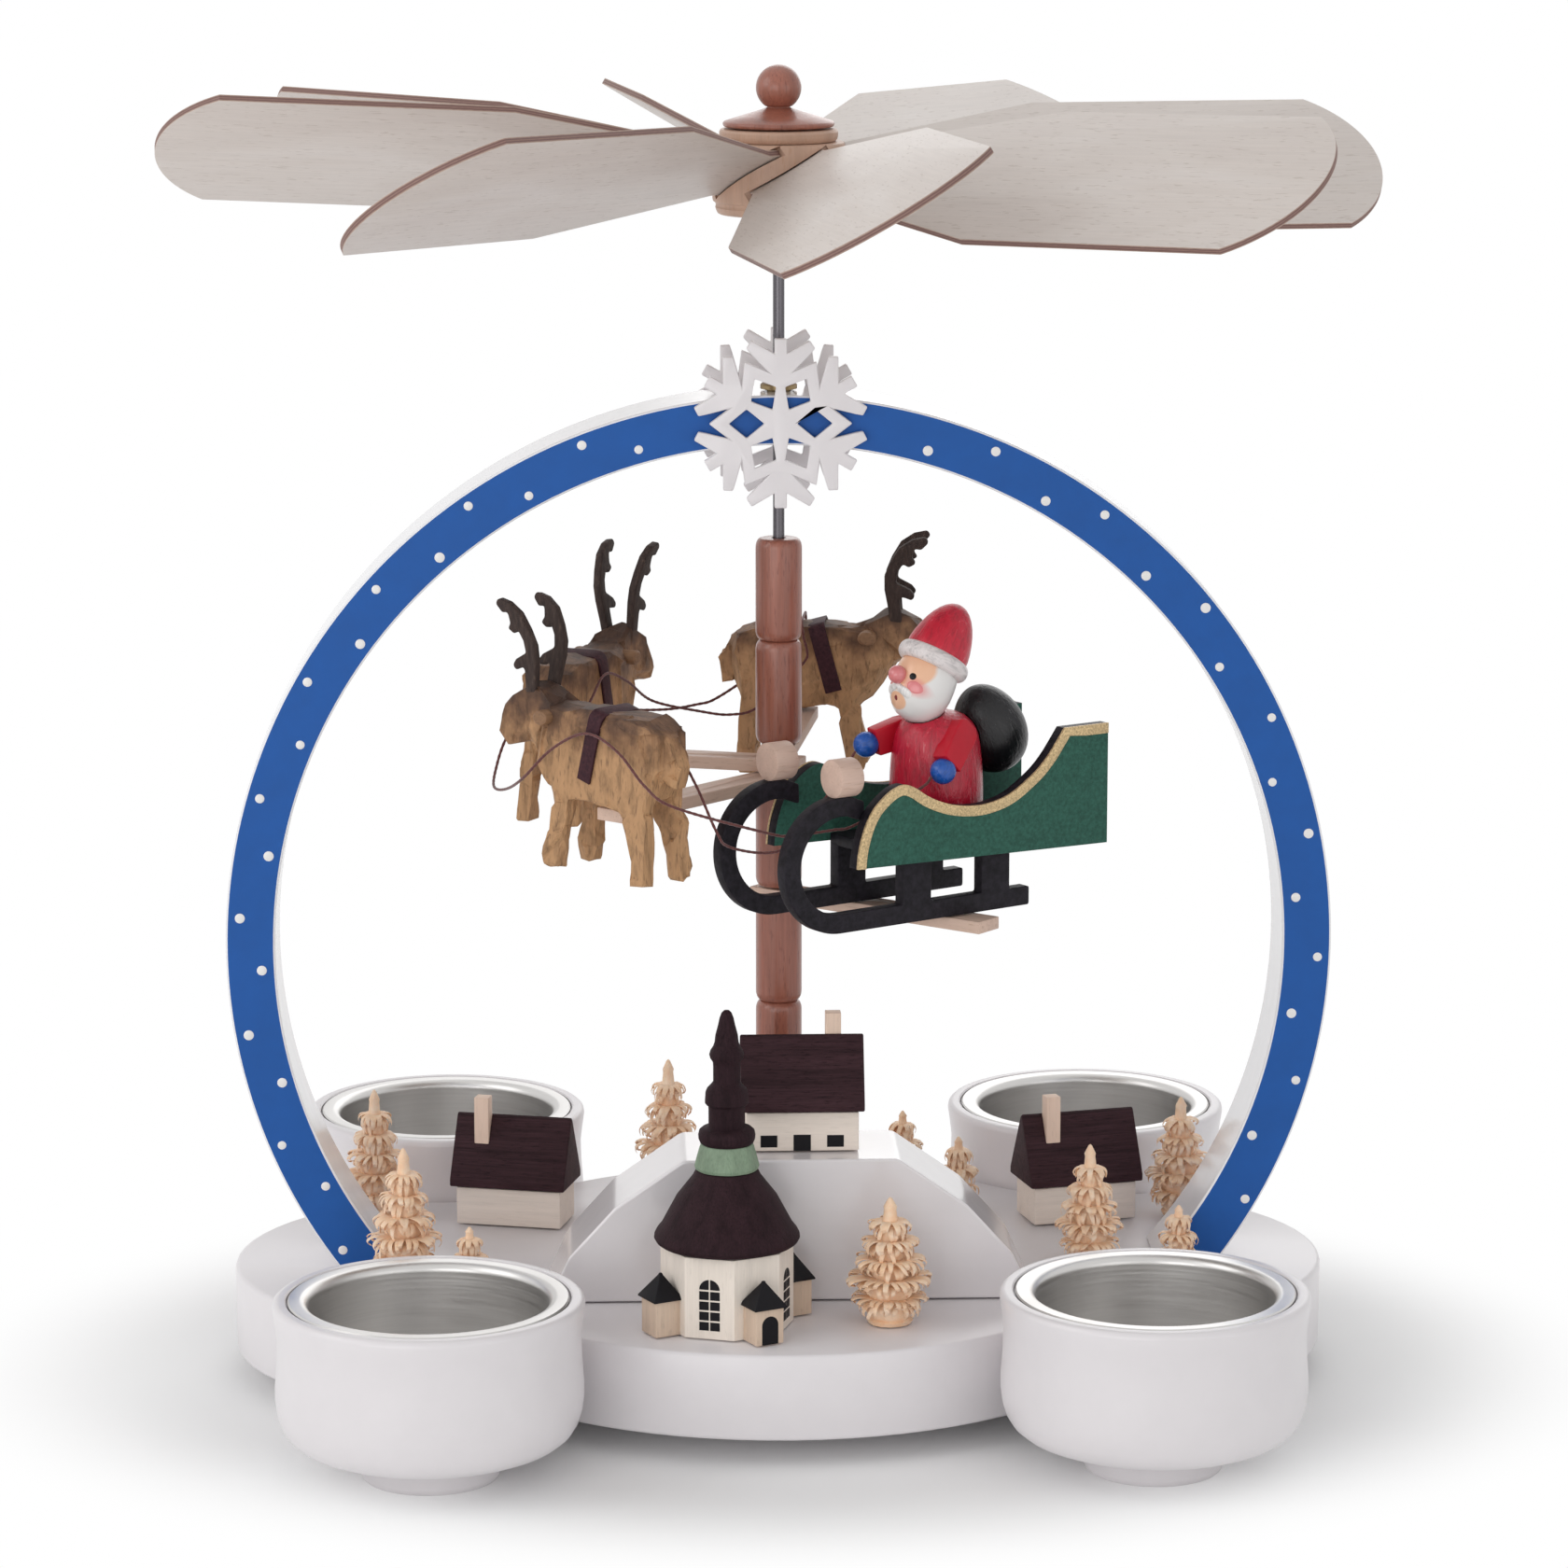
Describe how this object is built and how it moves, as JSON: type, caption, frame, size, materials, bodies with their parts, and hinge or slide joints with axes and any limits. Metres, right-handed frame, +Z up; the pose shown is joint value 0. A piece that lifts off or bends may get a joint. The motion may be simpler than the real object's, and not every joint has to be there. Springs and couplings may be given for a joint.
{
  "type": "christmas pyramid",
  "caption": "Candle-driven wooden Christmas pyramid: a bladed rotor on a shaft turns a sleigh and reindeer inside a round arch over a small village with candle cups.",
  "frame": {"origin": "on the resting surface under the shaft, which is the middle of the bounding box's underside", "axes": "+Z up along the shaft, -Y towards the front with the church, +X to the viewer's right"},
  "size_m": [0.2113, 0.2114, 0.23],
  "materials": {
    "white_lacquer": "satin lacquer over wood",
    "blue_lacquer": "satin lacquer over wood",
    "aluminium": "satin",
    "shaft_steel": "bright drawn",
    "bearing_brass": "turned",
    "red_brown_wood": "turned, satin",
    "dark_stained_wood": "stained, matt",
    "pale_beech": "natural, matt",
    "pale_lime_wood": "natural, matt",
    "birch_plywood": "natural, matt",
    "wood_shaving": "natural curled shavings",
    "carved_wood": "hand carved, stained",
    "green_paint": "matt paint with a gold edge line",
    "black_paint": "matt paint",
    "red_lacquer": "gloss lacquer",
    "painted_face": "skin, white beard and pink cheeks, gloss",
    "black_lacquer": "gloss lacquer",
    "rein_thread": "twisted thread"
  },
  "bodies": {
    "base": {"base_board": "white_lacquer", "arch": "blue_lacquer", "snowflake_front": "white_lacquer", "snowflake_rear": "white_lacquer", "hill": "white_lacquer", "shaft_bush": "bearing_brass", "pivot_bearing": "bearing_brass", "church_walls": "pale_lime_wood", "church_roof": "dark_stained_wood", "candle_cup_front_left": "white_lacquer", "candle_insert_front_left": "aluminium", "candle_cup_front_right": "white_lacquer", "candle_insert_front_right": "aluminium", "candle_cup_rear_left": "white_lacquer", "candle_insert_rear_left": "aluminium", "candle_cup_rear_right": "white_lacquer", "candle_insert_rear_right": "aluminium", "house_left_walls": "pale_lime_wood", "house_left_roof": "dark_stained_wood", "house_right_walls": "pale_lime_wood", "house_right_roof": "dark_stained_wood", "house_hill_walls": "pale_lime_wood", "house_hill_roof": "dark_stained_wood", "tree_01": "wood_shaving", "tree_02": "wood_shaving", "tree_03": "wood_shaving", "tree_04": "wood_shaving", "tree_05": "wood_shaving", "tree_06": "wood_shaving", "tree_07": "wood_shaving", "tree_08": "wood_shaving", "tree_09": "wood_shaving", "tree_10": "wood_shaving"},
    "rotor": {"shaft": "shaft_steel", "pole_upper": "red_brown_wood", "pole_middle": "red_brown_wood", "pole_lower": "red_brown_wood", "reindeer_arms": "pale_beech", "reindeer_front": "carved_wood", "reindeer_middle": "carved_wood", "reindeer_rear": "carved_wood", "sleigh_arm": "pale_beech", "sleigh_frame": "black_paint", "sleigh_side_left": "green_paint", "sleigh_side_right": "green_paint", "santa_body": "red_lacquer", "santa_head": "painted_face", "santa_hat": "red_lacquer", "santa_sack": "black_lacquer", "reins": "rein_thread", "hub": "pale_beech", "finial": "red_brown_wood", "blade_1": "birch_plywood", "blade_2": "birch_plywood", "blade_3": "birch_plywood", "blade_4": "birch_plywood", "blade_5": "birch_plywood", "blade_6": "birch_plywood", "blade_7": "birch_plywood", "blade_8": "birch_plywood"}
  },
  "joints": [
    {"name": "rotor_spin", "type": "hinge", "parent": "base", "child": "rotor", "pos_m": [0, 0, 0.0215], "axis": [0, 0, 1], "continuous": true}
  ]
}
